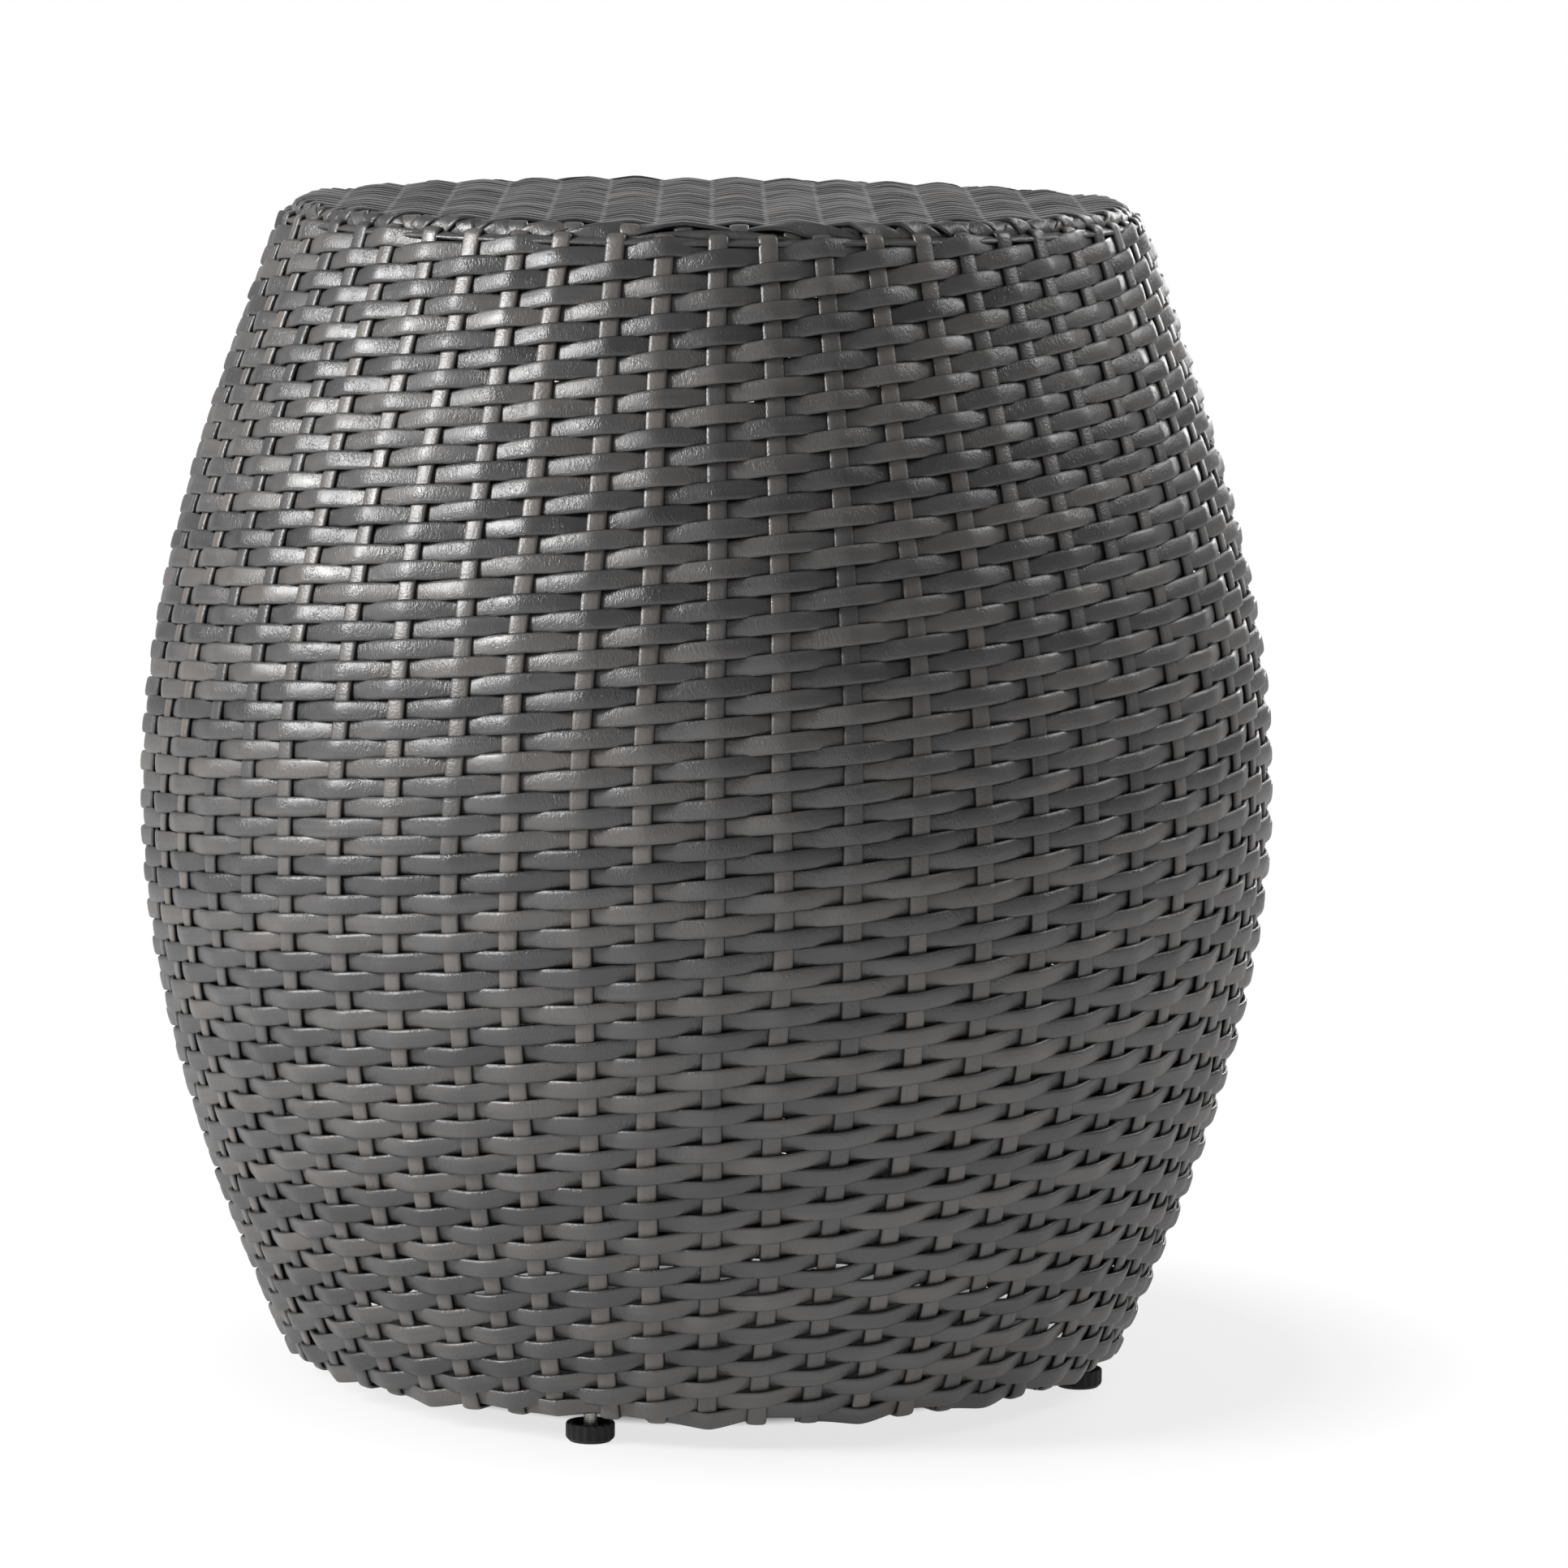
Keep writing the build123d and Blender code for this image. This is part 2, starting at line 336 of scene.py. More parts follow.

# %% [markdown]
# ## Resin strand
# The strand is extruded resin, charcoal with taupe streaks drawn along it, and each strand comes from a
# slightly different batch. Weavers are embossed with a leather-like crackle, and stakes with a pebble
# grain and faint lines along them. An image could hold that grain, but noise read along the strand's own
# map stays sharp at any size and follows every bend. The grain is a bump, because it is far finer than the
# faces. Towards its edges a strand's colour is darkened to near black: painted shade for the grooves
# between strands.

# %% Two embossed resins
CHARCOAL = (0.0285, 0.029, 0.0305, 1)
ASH = (0.066, 0.065, 0.065, 1)
TAUPE = (0.136, 0.119, 0.105, 1)
# painted shade: towards a strand's edges, over the EDGE span of depth, its colour darkens to this near
# black
PAINTED_GROOVE_SHADE = (0.003, 0.003, 0.003, 1)    # in the grooves between strands
EDGE = (0.1, 0.5)                  # from the face to a strand's edge, as depth from its crown
BATCH, PATCH, STREAK = 0.7, 1.3, 0.4   # what each adds towards taupe
COOL = 1.2                         # and what is taken off
WEAVER_GRAIN, STAKE_GRAIN = 0.26 * MM, 0.18 * MM
STAKE_WARMTH = 0.3                 # stakes are browner than weavers
ROUGHNESS = (0.37, 0.46)


def strand_colour(finish, place, warmth):
    """Charcoal to taupe: by strand, in patches along it and in fine streaks, and darkened towards its
    edges as painted shade.
    """
    tone = finish.add("ShaderNodeAttribute", {"attribute_name": "tone"}, out=2)
    patch = finish.noise(finish.stretched(place, (16, 40, 1)), 1.0, 3.0)
    streak = finish.noise(finish.stretched(place, (14, 800, 1)), 1.0, 2.0)
    share = BATCH * tone + PATCH * patch + STREAK * streak + (warmth - COOL)
    dark = finish.blend(finish.between(share, -0.35, 0.2), CHARCOAL, ASH)
    face = finish.blend(finish.between(share, 0.1, 0.75), dark, TAUPE)
    # painted shade: the colour darkens towards a strand's edges, by depth below its crown
    depth = finish.add("ShaderNodeAttribute", {"attribute_name": "depth"}, out=2)
    return finish.blend(finish.between(depth, *EDGE), face, PAINTED_GROOVE_SHADE)


def strand_resin(name, emboss, depth, warmth):
    """A resin whose bump comes from the emboss that is asked for."""
    finish = Finish(bpy.data.materials.new(name))
    place = finish.add("ShaderNodeUVMap", {"uv_map": "Strand"})
    grain = emboss(finish, place)
    bump = finish.add("ShaderNodeBump", {}, {"Strength": 1.0, "Distance": depth, "Height": grain})
    gloss = finish.noise(finish.stretched(place, (60, 160, 1)), 1.0, 2.0)
    return finish.close({
        "Base Color": strand_colour(finish, place, warmth),
        "Roughness": finish.between(gloss, 0.3, 0.7, *ROUGHNESS),
        "Specular IOR Level": 1.0,
        "Normal": bump,
    })


def crackle(finish, place):
    """Short wrinkles across the strand with small pebbles between, in patches of more and less depth."""
    cells = {"Vector": finish.stretched(place, (820, 760, 1)), "Scale": 1.0}
    pebble = finish.add("ShaderNodeTexVoronoi", {"feature": "SMOOTH_F1"}, cells)
    folds = {"Vector": finish.stretched(place, (1050, 800, 1)), "Scale": 1.0}
    crease = finish.add("ShaderNodeTexNoise", {}, {**folds, "Detail": 0.6, "Distortion": 1.2})
    patch = finish.noise(finish.stretched(place, (90, 200, 1)), 1.0, 1.0)
    return (1.1 * crease - 0.4 * pebble) * finish.between(patch, 0.38, 0.62, 0.2, 1.0)


def drawn_lines(finish, place):
    """A pebble grain, with faint broken lines along the strand."""
    lines = finish.noise(finish.stretched(place, (90, 1700, 1)), 1.0, 2.0)
    pebble = finish.noise(finish.stretched(place, (900, 800, 1)), 1.0, 1.0)
    return 0.25 * lines + pebble


weaver_resin = strand_resin("weaver_resin", crackle, WEAVER_GRAIN, 0.0)
stake_resin = strand_resin("stake_resin", drawn_lines, STAKE_GRAIN, STAKE_WARMTH)
print("resins:", weaver_resin.name, stake_resin.name)

# %% [markdown]
# ## The weavers of the wall
# Eighteen weavers climb the wall together in a slow spiral, three and a half turns each, and pass in
# front of one stake and behind the next. Rings would be simpler, but the real rows rise to the right all
# the way round and run out at both rims. An even number of weavers over an even number of stakes keeps
# neighbouring rows opposite. Each weaver is one strip with straight flanks and tight bends at the stakes.
# The bends are softer low on the wall, and the first and last courses lie level along the borders.

# %% Weave the wall
STAKES, WEAVERS = 54, 18
STAKE_W, STAKE_T = 8.3 * MM, 2.4 * MM
WEAVER_W, WEAVER_T = 8.5 * MM, 2.4 * MM
ROW_PITCH = 8.0 * MM
FIRST_STAKE = radians(-89)       # the stake nearest the viewer
WAVE = 2.4 * MM                  # a weaver's way in and out
GIVE = 0.2 * MM                  # a stake's
BEND, LOW_BEND = 0.94, 0.7       # near 1 the bends are tight and the flanks straight, softer low down
STEPS, GATHER = 9, 0.6           # stations from one stake to the next, and how they gather at stakes
FIRST_RUN, LAST_RUN = run_at(13.4 * MM), run_at(497.5 * MM)
ROW_SHIFT = FIRST_RUN / ROW_PITCH     # a first row lies on the border where it meets its first stake
LEAD = 1.3                       # stakes that a weaver passes before its first and after its last bend
TUCK_SPAN = 1.2                  # stakes over which its ends slip behind the wall
LAST_STAKE = 2 * round(1.5 * (LAST_RUN - FIRST_RUN) / ROW_PITCH)
TUCK = -2.6 * MM
BORDER_SWING = 0.75              # share of the way in and out that is left on the border courses
ROW_WAVER, SWING_WAVER = (0.35 * MM, 14, 100), (0.1, 5, 200)
WEAVER_TWIST = (radians(4), 4, 300)
WEAVER_SEED = 40
FEET = 4
FOOT_TURNS = radians(-106) + 2 * pi / FEET * np.arange(FEET)
ARCH, ARCH_SPAN = 4.4 * MM, radians(7)   # the border rises over each foot
STAKE_SEED, STAKE_WAVER = 5, radians(0.3)

stake_shift = np.random.default_rng(STAKE_SEED).normal(0, STAKE_WAVER, STAKES)


def stake_turn(stake):
    """Angle of a stake, or of a place between two stakes."""
    shift = np.interp(np.mod(stake, STAKES), np.arange(STAKES + 1), np.append(stake_shift, stake_shift[0]))
    return FIRST_STAKE + 2 * pi * stake / STAKES + shift


def over_under(beat, bend=BEND):
    """A wave with straight flanks and a tight bend at each stake, as stiff strand takes."""
    return np.arcsin(bend * beat) / np.arcsin(bend)


def gathered(steps):
    """Even steps, moved closer together at the whole numbers."""
    return steps - GATHER * np.sin(2 * pi * steps) / (2 * pi)


def foot_arch(turn):
    """How far the lower border is lifted at an angle, so that it clears the feet."""
    apart = np.angle(np.exp(1j * (np.asarray(turn)[..., None] - FOOT_TURNS)))
    return ARCH * np.exp(-(apart / ARCH_SPAN) ** 2).sum(axis=-1)


def side_weaver(number):
    """One weaver, from the lower border to the upper one."""
    start = -number * STAKES / WEAVERS
    stake = np.linspace(start - LEAD, start + LAST_STAKE + LEAD, int((LAST_STAKE + 2 * LEAD) * STEPS) + 1)
    stake = gathered(stake)
    row = number + stake * WEAVERS / STAKES + ROW_SHIFT
    run = ROW_PITCH * row + waver(stake, ROW_WAVER, number)
    run = np.clip(run, FIRST_RUN + foot_arch(stake_turn(stake)), LAST_RUN)
    radius, height, face_r, face_z = on_wall(run)
    held = np.clip(np.minimum(stake - stake[0], stake[-1] - stake) / TUCK_SPAN, 0, 1)
    rim = np.clip(np.minimum(run - FIRST_RUN, LAST_RUN - run) / ROW_PITCH, 0, 1)
    swing = WAVE * (1 + waver(stake, SWING_WAVER, number))
    swing = swing * (BORDER_SWING + (1 - BORDER_SWING) * rim)
    bend = LOW_BEND + (BEND - LOW_BEND) * np.clip((run - FIRST_RUN) / run_at(BELLY_Z), 0, 1) * rim
    lift = held * swing * over_under(np.cos(pi * (stake + number)), bend) + (1 - held) * TUCK
    path = around(radius + lift * face_r, height + lift * face_z, stake_turn(stake))
    face = around(face_r, face_z, stake_turn(stake))
    return path, face, WEAVER_W, WEAVER_T, waver(stake, WEAVER_TWIST, number)


for number in range(WEAVERS):
    woven_piece(f"weaver_{number + 1:02d}", [side_weaver(number)], "table", ["side_weave"],
                weaver_resin, WEAVER_SEED + number)
print(f"weavers: {WEAVERS}, rows up the wall: {(LAST_RUN - FIRST_RUN) / ROW_PITCH:.0f}")

# %% [markdown]
# ## The stakes of the wall
# Fifty-four stakes stand between the weavers. Each is one strand: it starts under the bottom ring, turns
# up the wall, and bends in to its end at the top ring. The two folds are short Bezier curves between the
# wall and the flat, so that the bend is tight but smooth.

# %% Stand the stakes
STAKE_STEP = 2.7 * MM
FOLD_LOW_Z, FOLD_HIGH_Z = 16 * MM, 497 * MM
LOW_TAB = (164 * MM, 11.2 * MM)       # inner end under the bottom ring
HIGH_TAB = (176.6 * MM, 501.8 * MM)   # inner end at the top ring
HEEL = 4 * MM                         # from the wall in to where the lower fold starts
LOW_PULL, LOW_CORNER, LOW_POINTS = np.array([3 * MM, 0]), 3.6 * MM, 7
HIGH_PULL, HIGH_CORNER, HIGH_POINTS = np.array([7 * MM, 0]), 6 * MM, 11
STAKE_SWAY, STAKE_TWIST = (0.8 * MM / BELLY_R, 0.2, 500), (radians(3), 0.1, 600)
STAKE_PIECES, STAKE_PIECE_SEED = 6, 70


def bezier(start, start_pull, end_pull, end, count):
    """Points along a cubic curve from its two ends and the pull at each."""
    share = np.linspace(0, 1, count)[:, None]
    return ((1 - share) ** 3 * start + 3 * (1 - share) ** 2 * share * start_pull
            + 3 * (1 - share) * share ** 2 * end_pull + share ** 3 * end)


def side_stake(number):
    """One stake of the wall with both of its folds."""
    run = np.arange(run_at(FOLD_LOW_Z), run_at(FOLD_HIGH_Z), STAKE_STEP)
    radius, height, face_r, face_z = on_wall(run)
    lift = -GIVE * np.cos(pi * (number + run / ROW_PITCH - number * WEAVERS / STAKES))
    wall = np.stack([radius + lift * face_r, height + lift * face_z], axis=-1)
    low, high = np.array(LOW_TAB), np.array(HIGH_TAB)
    low[1] += foot_arch(stake_turn(number)) / 2
    up_low, up_high = unit(wall[1] - wall[0]), unit(wall[-1] - wall[-2])
    heel = np.array([wall[0][0] - HEEL, low[1]])
    under = bezier(heel, heel + LOW_PULL, wall[0] - LOW_CORNER * up_low, wall[0], LOW_POINTS)
    over = bezier(wall[-1], wall[-1] + HIGH_CORNER * up_high, high + HIGH_PULL, high, HIGH_POINTS)
    line = np.vstack([low, (low + heel) / 2, under, wall[1:-1], over])
    along = unit(np.gradient(line, axis=0))
    turn = stake_turn(number) + waver(line[:, 1], STAKE_SWAY, number)
    path = around(line[:, 0], line[:, 1], turn)
    face = around(along[:, 1], -along[:, 0], turn)
    return path, face, STAKE_W, STAKE_T, waver(line[:, 1], STAKE_TWIST, number)


for group in range(STAKE_PIECES):
    numbers = range(group * STAKES // STAKE_PIECES, (group + 1) * STAKES // STAKE_PIECES)
    woven_piece(f"stakes_{group + 1}", [side_stake(number) for number in numbers], "table",
                ["side_weave", "base_border"], stake_resin, STAKE_PIECE_SEED + group)
print("stakes:", STAKES)

# %% [markdown]
# ## The woven top
# The top is a flat plain weave: sixteen stakes run from front to back, and weavers run from side to side,
# packed tight. At the edge the whole sheet turns down over the ring and ends behind the wall's last
# rows. A point of the sheet keeps its distance from the middle as length along the fold, so strands near
# the edge sweep down over the rim at a slant, as the real ones do. One narrower strand runs round in the
# groove between the fold and the wall's last row, and closes it.

# %% Weave the top
TOP_STAKES, TOP_STAKE_PITCH = 16, 22.5 * MM
TOP_ROWS, TOP_ROW_PITCH = 46, 8.1 * MM
TOP_MID = 505.2 * MM
TOP_WAVE = 1.6 * MM
RIM_BEND, RIM_TURN = 3.6 * MM, radians(104)
FLAT_R, SHEET_END = 175.4 * MM, 190.5 * MM     # flat part of the sheet, and its edge before it is folded
TOP_STEP, FEWEST_STATIONS = 2.6 * MM, 6
TOP_SWING_WAVER, TOP_ROW_WAVER = (0.08, 0.06, 700), (0.25 * MM, 0.12, 750)
TOP_WEAVER_TWIST = (radians(3), 0.08, 800)
TOP_STAKE_WAVER, TOP_STAKE_TWIST = (0.4 * MM, 0.2, 850), (radians(2), 0.1, 900)
TOP_SEED = 81
RIM_STRAND = (181.6 * MM, 499.2 * MM)   # radius and height of the strand in the groove inside the last row
RIM_STRAND_W, RIM_STATIONS = 5.4 * MM, 240
RIM_LEAN = radians(20)                  # its face leans outwards


def over_rim(x, y, lift):
    """A flat sheet's points folded over the rim, and which way the sheet faces there."""
    reach = np.hypot(x, y)
    bend = np.clip((reach - FLAT_R) / RIM_BEND, 0, RIM_TURN)
    rest = np.maximum(reach - FLAT_R - RIM_BEND * RIM_TURN, 0)
    lift = lift * (1 - bend / RIM_TURN)
    radius = np.minimum(reach, FLAT_R) + RIM_BEND * np.sin(bend) + rest * np.cos(bend)
    height = TOP_MID - RIM_BEND * (1 - np.cos(bend)) - rest * np.sin(bend)
    turn = np.arctan2(y, x)
    path = around(radius + lift * np.sin(bend), height + lift * np.cos(bend), turn)
    return path, around(np.sin(bend), np.cos(bend), turn)


def top_line(offset):
    """Stations along a strand of the top that lies at an offset from the middle."""
    half = sqrt(max(SHEET_END ** 2 - offset ** 2, 0))
    return np.linspace(-half, half, max(int(2 * half / TOP_STEP), FEWEST_STATIONS))


def top_weaver(number):
    """One strand of the top, from side to side."""
    y = (number - (TOP_ROWS - 1) / 2) * TOP_ROW_PITCH
    x = top_line(y)
    beat = np.cos(pi * (x / TOP_STAKE_PITCH + (TOP_STAKES - 1) / 2 + number))
    swing = TOP_WAVE * (1 + waver(x, TOP_SWING_WAVER, number))
    y = y + waver(x, TOP_ROW_WAVER, number)
    path, face = over_rim(x, y, swing * over_under(beat))
    return path, face, WEAVER_W, WEAVER_T, waver(x, TOP_WEAVER_TWIST, number)


def top_stake(number):
    """One strand of the top, from front to back."""
    x = (number - (TOP_STAKES - 1) / 2) * TOP_STAKE_PITCH
    y = top_line(x)
    row = y / TOP_ROW_PITCH + (TOP_ROWS - 1) / 2
    x = x + waver(y, TOP_STAKE_WAVER, number)
    path, face = over_rim(x, y, -GIVE * np.cos(pi * (number + row)))
    return path, face, STAKE_W, STAKE_T, waver(y, TOP_STAKE_TWIST, number)


def rim_strand():
    """The strand that runs round inside the wall's last row."""
    turn = np.linspace(0, 2 * pi, RIM_STATIONS)
    radius, height = RIM_STRAND
    lean_r, lean_z = np.full(len(turn), sin(RIM_LEAN)), cos(RIM_LEAN)
    path = around(np.full(len(turn), radius), height, turn)
    return path, around(lean_r, lean_z, turn), RIM_STRAND_W, WEAVER_T, 0.0


half_rows = TOP_ROWS // 2
woven_piece("top_weavers_front", [top_weaver(n) for n in range(half_rows)], "table",
            ["top_weave", "rim_border"], weaver_resin, TOP_SEED)
woven_piece("top_weavers_back", [top_weaver(n) for n in range(half_rows, TOP_ROWS)], "table",
            ["top_weave", "rim_border"], weaver_resin, TOP_SEED + 1)
woven_piece("top_stakes", [top_stake(n) for n in range(TOP_STAKES)], "table",
            ["top_weave", "rim_border"], stake_resin, TOP_SEED + 2)
woven_piece("rim_strand", [rim_strand()], "table", ["rim_border"], weaver_resin, TOP_SEED + 3)
print(f"top: {TOP_STAKES} stakes, {TOP_ROWS} weavers")

# %% [markdown]
# ## The steel inside
# Rings, ribs, bars and weld nuts are dark powder-coated steel, seen only from below. Their shapes are
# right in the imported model, so they keep them and get a finish: a powder coat flows out into a fine
# orange peel, which is noise in the bump and a little in the gloss.

# %% Powder coat
COAT_DARK, COAT_PALE = (0.022, 0.022, 0.024, 1), (0.04, 0.039, 0.04, 1)


def powder_coat():
    """Dark powder coat with a fine orange peel."""
    finish = Finish(bpy.data.materials.new("powder_coat"))
    place = finish.add("ShaderNodeTexCoord", out=3)
    peel = finish.noise(place, 700.0, 2.0)
    cloud = finish.noise(place, 30.0, 3.0)
    bump = finish.add("ShaderNodeBump", {}, {"Strength": 0.5, "Distance": 0.12 * MM, "Height": peel})
    return finish.close({
        "Base Color": finish.blend(cloud, COAT_DARK, COAT_PALE),
        "Roughness": finish.between(peel, 0.2, 0.8, 0.42, 0.6),
        "Normal": bump,
    })


coat = powder_coat()
bars_and_nuts = ("rib", "top_bar", "foot_nut")
steel = [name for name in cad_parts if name.startswith(bars_and_nuts) or name.endswith("_ring")]
for name in steel:
    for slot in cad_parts[name].material_slots:
        slot.material = coat
print("steel pieces:", len(steel))

# %% [markdown]
# ## The screw-in feet
# Each foot is a zinc-plated M6 stud with a black plastic glide moulded on its end. The glide is gripped
# and turned by hand, so its side is ribbed, its lower edge is chamfered, and its top is dished round
# the stud. The stud is a plain core with a thread wound on it: the section of one tooth is spun round the
# axis while it climbs one pitch a turn. The glide is a profile spun round the axis, with every second
# pair of its outermost corners drawn in for the ribs.

# %% Zinc and black plastic
ZINC_DARK, ZINC_PALE = (0.62, 0.61, 0.58, 1), (0.82, 0.81, 0.78, 1)
PLASTIC, SCUFFED = (0.006, 0.006, 0.0065, 1), (0.02, 0.02, 0.021, 1)


def bright_zinc():
    """Bright zinc plate with a faint spangle."""
    finish = Finish(bpy.data.materials.new("bright_zinc"))
    place = finish.add("ShaderNodeTexCoord", out=3)
    spangle = finish.noise(place, 900.0, 3.0)
    return finish.close({
        "Base Color": finish.blend(spangle, ZINC_DARK, ZINC_PALE),
        "Metallic": 1.0,
        "Roughness": finish.between(spangle, 0.3, 0.7, 0.22, 0.4),
    })


def foot_plastic():
    """Black moulded plastic, a little scuffed."""
    finish = Finish(bpy.data.materials.new("foot_plastic"))
    place = finish.add("ShaderNodeTexCoord", out=3)
    spark = finish.noise(place, 2600.0, 2.0)
    scuff = finish.noise(place, 260.0, 4.0, 0.7)
    bump = finish.add("ShaderNodeBump", {}, {"Strength": 0.4, "Distance": 0.05 * MM, "Height": spark})
    return finish.close({
        "Base Color": finish.blend(finish.between(scuff, 0.55, 0.8), PLASTIC, SCUFFED),
        "Roughness": finish.between(scuff, 0.3, 0.7, 0.38, 0.55),
        "Specular IOR Level": 0.35,
        "Normal": bump,
    })


# %% Studs and glides
STUD_CORE, STUD_CREST, THREAD = 2.55 * MM, 3.0 * MM, 1.0 * MM
STUD_SIDES, STUD_CHAMFER, TURN_STEPS = 20, 0.5 * MM, 16
ROOT_SINK, THREAD_START, PLAIN_ENDS = 0.05 * MM, 0.6 * MM, 2.2 * MM
CREST_LOW, CREST_HIGH = 0.42, 0.58       # the crest's place in the pitch
GLIDE_R, GLIDE_H, GLIDE_RIBS, RIB_DEPTH = 10.25 * MM, 8 * MM, 18, 0.55 * MM
CHAMFER, CUP_R, CUP_DEPTH, BORE_R, SOLE = 1.6 * MM, 7.5 * MM, 2.6 * MM, 3.05 * MM, 2 * MM
SOFT_EDGE = 0.35 * MM
RIB_STEPS, GROOVE_STEPS = 4, (2, 3)      # corners for each rib, and those that are drawn in
STUD_CREASE, GLIDE_CREASE = radians(25), radians(30)


def finished(bm, name, material, node, body):
    """Turns a bmesh into a piece that stands for a node and moves with its body."""
    bmesh.ops.recalc_face_normals(bm, faces=bm.faces)
    mesh = bpy.data.meshes.new(name)
    bm.to_mesh(mesh)
    bm.free()
    mesh.materials.append(material)
    piece = bpy.data.objects.new(name, mesh)
    bpy.context.scene.collection.objects.link(piece)
    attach(piece, body)
    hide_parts(node)
    return piece


def stud(low, high):
    """Core and thread of a stud that stands on its box's floor."""
    x, y = (low[0] + high[0]) / 2, (low[1] + high[1]) / 2
    tall = high[2] - low[2]
    bm = bmesh.new()
    bmesh.ops.create_cone(bm, cap_ends=True, segments=STUD_SIDES, radius1=STUD_CORE, radius2=STUD_CORE,
                          depth=tall, matrix=Matrix.Translation((0, 0, tall / 2)))
    ends = [edge for edge in bm.edges if abs(edge.verts[0].co.z - edge.verts[1].co.z) < WELD / 10]
    bmesh.ops.bevel(bm, geom=ends, offset=STUD_CHAMFER, affect="EDGES", segments=1, profile=0.5,
                    material=-1)
    root, start = STUD_CORE - ROOT_SINK, THREAD_START
    corners = [(root, 0, start), (STUD_CREST, 0, start + THREAD * CREST_LOW),
               (STUD_CREST, 0, start + THREAD * CREST_HIGH), (root, 0, start + THREAD)]
    tooth = [bm.verts.new(corner) for corner in corners]
    face = bm.faces.new(tooth)
    turns = int((tall - PLAIN_ENDS) / THREAD)
    bmesh.ops.spin(bm, geom=[face, *face.edges, *tooth], cent=(0, 0, 0), axis=(0, 0, 1),
                   angle=2 * pi * turns, steps=TURN_STEPS * turns, dvec=(0, 0, THREAD / TURN_STEPS))
    bmesh.ops.translate(bm, vec=(x, y, low[2]), verts=bm.verts)
    return bm


def glide(low, high):
    """Ribbed glide, chamfered below and dished above."""
    x, y = (low[0] + high[0]) / 2, (low[1] + high[1]) / 2
    cup_z, edge = GLIDE_H - CUP_DEPTH, SOFT_EDGE
    below = [(0, 0), (GLIDE_R - CHAMFER, 0), (GLIDE_R - edge, CHAMFER - edge), (GLIDE_R, CHAMFER + edge)]
    above = [(GLIDE_R, GLIDE_H - 2 * edge), (GLIDE_R - edge, GLIDE_H - edge / 2),
             (GLIDE_R - 2 * edge, GLIDE_H)]
    cup = [(CUP_R + edge, GLIDE_H), (CUP_R, GLIDE_H - edge), (CUP_R - edge, cup_z + edge),
           (CUP_R - 2 * edge, cup_z)]
    profile = [*below, *above, *cup, (BORE_R, cup_z), (BORE_R, SOLE), (0, SOLE)]
    bm = bmesh.new()
    verts = [bm.verts.new((radius, 0, height)) for radius, height in profile]
    edges = [bm.edges.new(pair) for pair in zip(verts, verts[1:])]
    count = GLIDE_RIBS * RIB_STEPS
    bmesh.ops.spin(bm, geom=[*verts, *edges], cent=(0, 0, 0), axis=(0, 0, 1), angle=2 * pi, steps=count,
                   use_merge=True)
    bmesh.ops.remove_doubles(bm, verts=bm.verts, dist=WELD)
    for vert in bm.verts:
        step = round(atan2(vert.co.y, vert.co.x) / (2 * pi) * count) % RIB_STEPS
        if step in GROOVE_STEPS and vert.co.xy.length > GLIDE_R - edge / 2:
            draw = 1 - RIB_DEPTH / GLIDE_R
            vert.co.x, vert.co.y = vert.co.x * draw, vert.co.y * draw
    bmesh.ops.translate(bm, vec=(x, y, low[2]), verts=bm.verts)
    return bm


zinc, plastic = bright_zinc(), foot_plastic()
for number in range(1, FEET + 1):
    stud_box, glide_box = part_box(f"foot_stud_{number}"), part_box(f"foot_base_{number}")
    piece = finished(stud(*stud_box), f"stud_{number}", zinc, f"foot_stud_{number}",
                     f"stud_{number}")
    piece.data.shade_smooth()
    piece.data.set_sharp_from_angle(angle=STUD_CREASE)
    piece = finished(glide(*glide_box), f"glide_{number}", plastic, f"foot_base_{number}",
                     f"glide_{number}")
    piece.data.shade_smooth()
    piece.data.set_sharp_from_angle(angle=GLIDE_CREASE)
print("feet:", FEET)

# %% [markdown]
# ## Floor, light and camera
# The table stands on a seamless white floor in soft studio light: a large lamp from the upper left, a
# weaker one from the upper right, one from behind on the right that draws the bright edge, a low one in
# front that opens the shadows, and pale light all round. The floor shows white to the camera away from
# the table. It keeps the table's soft shadow, which falls to the right, and under the barrel its colour is
# darkened as a painted shadow, so that the gaps of the weave look into the dark.

# %% Floor and backdrop
PALE = 0.74                        # how far the paper near the table is lifted towards white
SHADE_MIDDLE = (0, 0.055, 0)       # the shade under the table lies a little behind its middle
SHADE_SHAPE = (1.1, 0.96, 1)       # and is narrower than it is deep
# inside this span the paper gets no glow and its colour is darkened as a painted shadow
UNDER_TABLE = (0.165, 0.184)       # from the dark floor inside the barrel to the paper around it
SHADOW_MIDDLE = (0.06, 0.02, 0)    # the shadow falls to the right
SWEEP = (0.2, 0.28)                # from there on the paper runs out into plain white
# painted shadow: the paper's colour under the barrel is darkened to this grey
PAINTED_SHADOW_GREY, PAPER = (0.36, 0.36, 0.36, 1), (0.86, 0.86, 0.86, 1)
FLOOR_SIZE = 6
MIRRORED = 0.4                     # how bright the white paper is in reflections
WHITE = (1, 1, 1, 1)
CAMERA_RAY, GLOSSY_RAY, THROUGH_RAY = "Is Camera Ray", "Is Glossy Ray", "Is Transmission Ray"


def backdrop_rays(finish, mirrored=1.0):
    """1 for the rays that see the backdrop itself: straight to the camera, mirrored or through glass."""
    rays = [finish.add("ShaderNodeLightPath", out=kind) for kind in (CAMERA_RAY, GLOSSY_RAY, THROUGH_RAY)]
    return rays[0] + (rays[1] + rays[2]) * mirrored


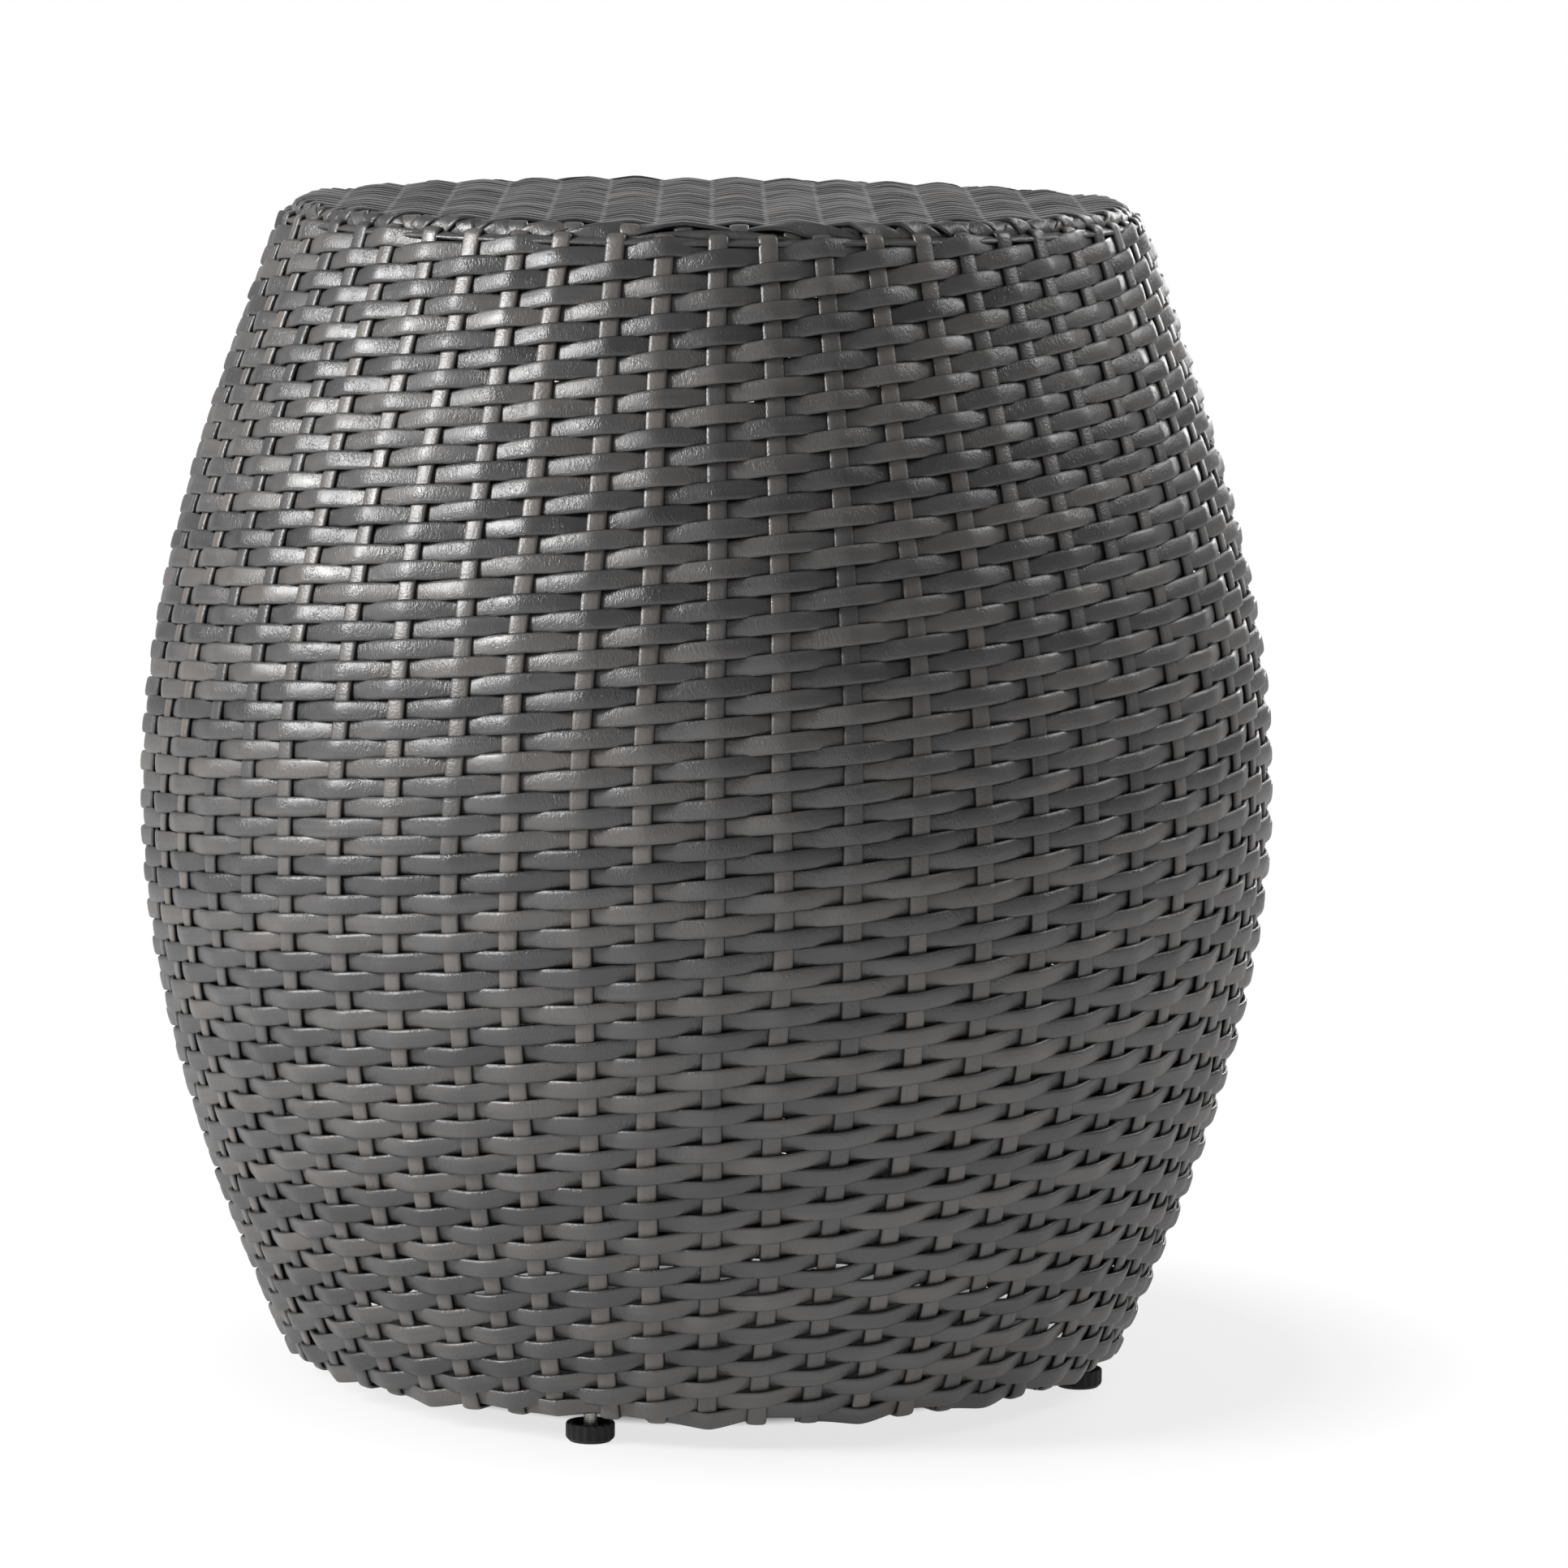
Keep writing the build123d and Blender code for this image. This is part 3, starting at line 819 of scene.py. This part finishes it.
def studio_floor():
    """White paper that keeps the table's shadow, with a painted shadow darkening its colour under the
    barrel.
    """
    bm = bmesh.new()
    bmesh.ops.create_grid(bm, x_segments=1, y_segments=1, size=FLOOR_SIZE)
    mesh = bpy.data.meshes.new("floor")
    bm.to_mesh(mesh)
    bm.free()
    finish = Finish(bpy.data.materials.new("seamless_paper"))
    place = finish.add("ShaderNodeTexCoord", out=3)
    apart = {"operation": "DISTANCE"}
    reach = finish.add("ShaderNodeVectorMath", apart, {0: place, 1: SHADOW_MIDDLE}, out=1)
    squeezed = finish.stretched(place, SHADE_SHAPE)
    shade = finish.add("ShaderNodeVectorMath", apart, {0: squeezed, 1: SHADE_MIDDLE}, out=1)
    near = finish.between(shade, *UNDER_TABLE, 0.0, PALE)
    far = finish.between(reach, *SWEEP, 0.0, 1 - PALE)
    # painted shadow: the paper's colour darkens under the barrel
    paper_painted_shadow = finish.blend(finish.between(shade, *UNDER_TABLE), PAINTED_SHADOW_GREY, PAPER)
    paper = finish.add("ShaderNodeBsdfDiffuse", {}, {"Color": paper_painted_shadow})
    glow = finish.add("ShaderNodeEmission", {}, {"Color": WHITE, "Strength": 1.0})
    share = (near + far) * backdrop_rays(finish, MIRRORED)
    finish.add_end("ShaderNodeOutputMaterial",
                   finish.add("ShaderNodeMixShader", {}, {0: share, 1: paper, 2: glow}))
    mesh.materials.append(finish.owner)
    floor = bpy.data.objects.new("floor", mesh)
    bpy.context.scene.collection.objects.link(floor)


AMBIENT = 0.24                     # pale light from all round
BACKDROP = (0.7, 1.0)              # the white backdrop stands behind: how far back a ray has to look

studio_floor()
scene = bpy.context.scene
scene.world = bpy.data.worlds.new("studio")
sky = Finish(scene.world)
look = sky.add("ShaderNodeSeparateXYZ", {}, {0: sky.add("ShaderNodeTexCoord")}, out=1)
level = AMBIENT + (1 - AMBIENT) * backdrop_rays(sky, sky.between(look, *BACKDROP))
backdrop = sky.add("ShaderNodeBackground", {}, {"Color": WHITE, "Strength": level})
sky.add_end("ShaderNodeOutputWorld", backdrop)
scene.view_settings.view_transform = "Standard"


def soft_lamp(name, place, aim, size, watts):
    """A rectangular lamp that looks at a point."""
    lamp = bpy.data.lights.new(name, "AREA")
    lamp.shape = "RECTANGLE"
    lamp.size, lamp.size_y = size
    lamp.energy = watts
    holder = bpy.data.objects.new(name, lamp)
    holder.location = place
    holder.rotation_euler = (Vector(aim) - Vector(place)).to_track_quat("-Z", "Y").to_euler()
    scene.collection.objects.link(holder)


soft_lamp("key", (-2.0, -0.75, 1.3), (0, 0, 0.28), (0.6, 0.9), 58)
soft_lamp("side", (1.7, 0.4, 1.7), (0, 0, 0.4), (0.8, 1.0), 17)
soft_lamp("rim", (0.95, 1.8, 0.95), (0, 0, 0.35), (0.3, 1.0), 13)
soft_lamp("fill", (-0.4, -3.4, 0.3), (0, 0, 0.15), (2.6, 0.5), 4.5)
print("lamps: 4")

# %% Camera
SENSOR, FAR_CLIP = 36, 50
EYE = Vector((0, -3.273, 0.685))
PITCH_DOWN, ROLL = radians(7.49), radians(0.54)
FOCAL_PX, FRAME_PX, AXIS_PX = 9395, 1932, 870.6

camera = bpy.data.objects.new("camera", bpy.data.cameras.new("camera"))
camera.data.sensor_width = SENSOR
camera.data.lens = FOCAL_PX / FRAME_PX * SENSOR
camera.data.clip_end = FAR_CLIP
yaw = atan2(FRAME_PX / 2 - AXIS_PX, FOCAL_PX)
tilted = Matrix.Rotation(pi / 2 - PITCH_DOWN, 4, "X") @ Matrix.Rotation(ROLL, 4, "Z")
camera.matrix_world = Matrix.Translation(EYE) @ Matrix.Rotation(-yaw, 4, "Z") @ tilted
scene.collection.objects.link(camera)
scene.camera = camera
print(f"lens: {camera.data.lens:.1f} mm")
